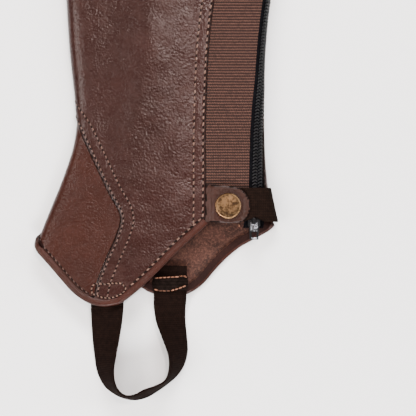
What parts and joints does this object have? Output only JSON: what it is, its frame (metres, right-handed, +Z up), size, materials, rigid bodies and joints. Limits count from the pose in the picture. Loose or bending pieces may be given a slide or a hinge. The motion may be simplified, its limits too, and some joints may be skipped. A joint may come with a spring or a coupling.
{
  "type": "leather half chap (gaiter)",
  "caption": "Flat-laid leather riding half chap with an elastic strip, a back zip, a snap tab with a lock strap, and an elastic strap under the boot.",
  "frame": {"origin": "middle of the bounding box at its base, on the surface that the half chap lies on", "axes": "+Y from the foot end to the top edge, +X from the shin fold to the back zip, +Z up from the surface"},
  "size_m": [0.1787, 0.487, 0.0209],
  "materials": {
    "brown_leather": "smooth full-grain leather, satin",
    "instep_leather": "smooth leather, satin, slightly redder",
    "binding_leather": "thin rolled leather, satin",
    "ribbed_elastic": "woven ribbed elastic",
    "dark_webbing": "woven elastic webbing, matt",
    "zip_tape": "woven polyester tape, matt",
    "zip_coil": "nylon coil",
    "blackened_metal": "blackened die-cast metal, worn bright on its high edges",
    "antique_brass": "antique brass, darkened in its hollows"
  },
  "bodies": {
    "gaiter": {"main_panel": "brown_leather", "front_panel": "instep_leather", "elastic_panel": "ribbed_elastic", "zip_tape_near": "zip_tape", "zip_tape_far": "zip_tape", "zip_coil": "zip_coil", "zip_slider": "blackened_metal", "hem_binding": "binding_leather", "top_binding": "binding_leather", "snap_tab": "brown_leather", "snap_cap": "antique_brass", "lock_strap": "dark_webbing", "underfoot_strap": "dark_webbing", "strap_end_patch": "dark_webbing"},
    "pull": {"zip_pull": "blackened_metal"}
  },
  "joints": [
    {"name": "zip_pull_hinge", "type": "hinge", "parent": "gaiter", "child": "pull", "pos_m": [0.04265, -0.13447, 0.01391], "axis": [-1, 0, 0], "range_deg": [0, 88]}
  ]
}
